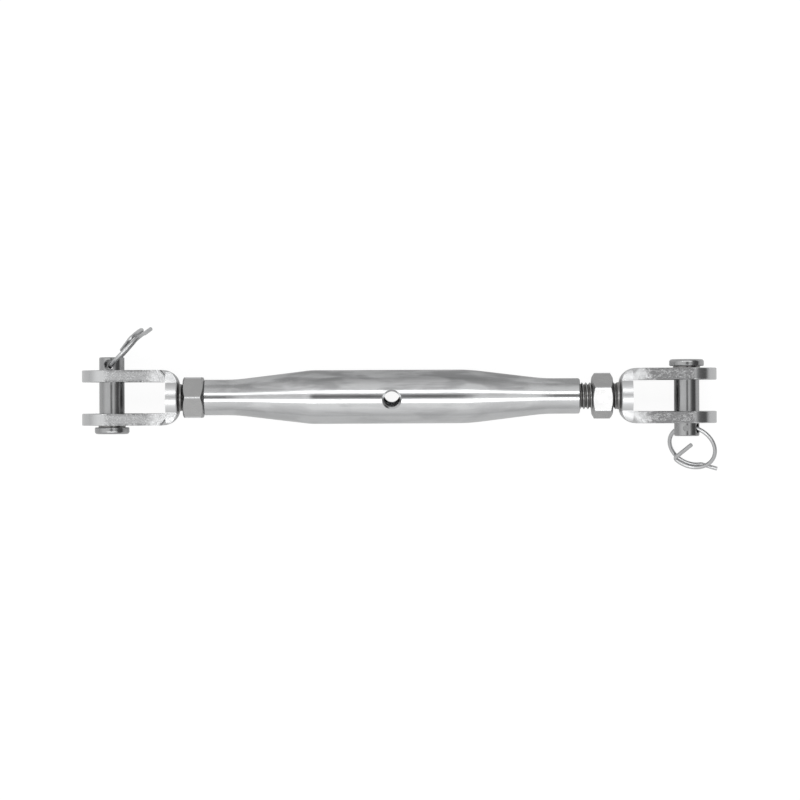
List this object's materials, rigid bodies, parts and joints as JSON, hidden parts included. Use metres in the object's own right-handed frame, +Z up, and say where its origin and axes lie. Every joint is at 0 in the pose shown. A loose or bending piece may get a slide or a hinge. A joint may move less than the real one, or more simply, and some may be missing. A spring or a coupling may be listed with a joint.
{
  "type": "turnbuckle",
  "caption": "Closed body rigging screw with a fork, lock nut, clevis pin and cotter ring at each end, adjusted by turning its tube.",
  "frame": {"origin": "the middle of the body, on its axis, in its cross hole", "axes": "+X along the screw, +Y along the clevis pins, +Z up from the surface that it lies on"},
  "size_m": [0.284, 0.0655, 0.0266],
  "materials": {
    "body_steel": "blotchy satin polish on drawn and swaged stainless tube",
    "fork_steel": "tumbled, mottled flats with smoother turned base and tips",
    "nut_steel": "plain machined stainless",
    "thread_steel": "rolled thread, dull in the roots",
    "pin_steel": "turned and polished stainless",
    "ring_steel": "bright drawn spring wire"
  },
  "bodies": {
    "body": {"body_tube": "body_steel"},
    "nut_left": {"locknut_left": "nut_steel"},
    "fork_left": {"fork_left": "fork_steel", "stud_left": "thread_steel"},
    "pin_left": {"clevis_pin_left": "pin_steel"},
    "ring_left": {"cotter_ring_left": "ring_steel"},
    "nut_right": {"locknut_right": "nut_steel"},
    "fork_right": {"fork_right": "fork_steel", "stud_right": "thread_steel"},
    "pin_right": {"clevis_pin_right": "pin_steel"},
    "ring_right": {"cotter_ring_right": "ring_steel"}
  },
  "joints": [
    {"name": "turn_left", "type": "hinge", "parent": "body", "child": "nut_left", "pos_m": [-0.08825, 0, 0], "axis": [1, 0, 0], "range_deg": [-181, 10081]},
    {"name": "screw_left", "type": "slide", "parent": "nut_left", "child": "fork_left", "axis": [-1, 0, 0], "range_m": [-0.00088, 0.049]},
    {"name": "pin_turn_left", "type": "hinge", "parent": "fork_left", "child": "pin_left", "pos_m": [-0.1247, 0, 0], "axis": [0, 1, 0], "continuous": true},
    {"name": "ring_swing_left", "type": "hinge", "parent": "pin_left", "child": "ring_left", "pos_m": [-0.1247, 0.0146, 0], "axis": [0.1444, 0, -0.9895], "range_deg": [-128.8, 41.2]},
    {"name": "turn_right", "type": "hinge", "parent": "body", "child": "nut_right", "pos_m": [0.09365, 0, 0], "axis": [1, 0, 0], "range_deg": [-181, 10081]},
    {"name": "screw_right", "type": "slide", "parent": "nut_right", "child": "fork_right", "axis": [1, 0, 0], "range_m": [-0.00088, 0.049]},
    {"name": "pin_turn_right", "type": "hinge", "parent": "fork_right", "child": "pin_right", "pos_m": [0.1314, 0, 0], "axis": [0, 1, 0], "continuous": true},
    {"name": "ring_swing_right", "type": "hinge", "parent": "pin_right", "child": "ring_right", "pos_m": [0.1314, -0.0146, 0], "axis": [0.9135, 0, 0.4067], "range_deg": [-118.7, 51.3]}
  ],
  "couplings": [
    {"joint": "turn_left", "follows": "screw_left", "rad_per_m": 3590.4},
    {"joint": "turn_right", "follows": "screw_left", "rad_per_m": 3590.4},
    {"joint": "screw_right", "follows": "screw_left", "ratio": 1}
  ]
}
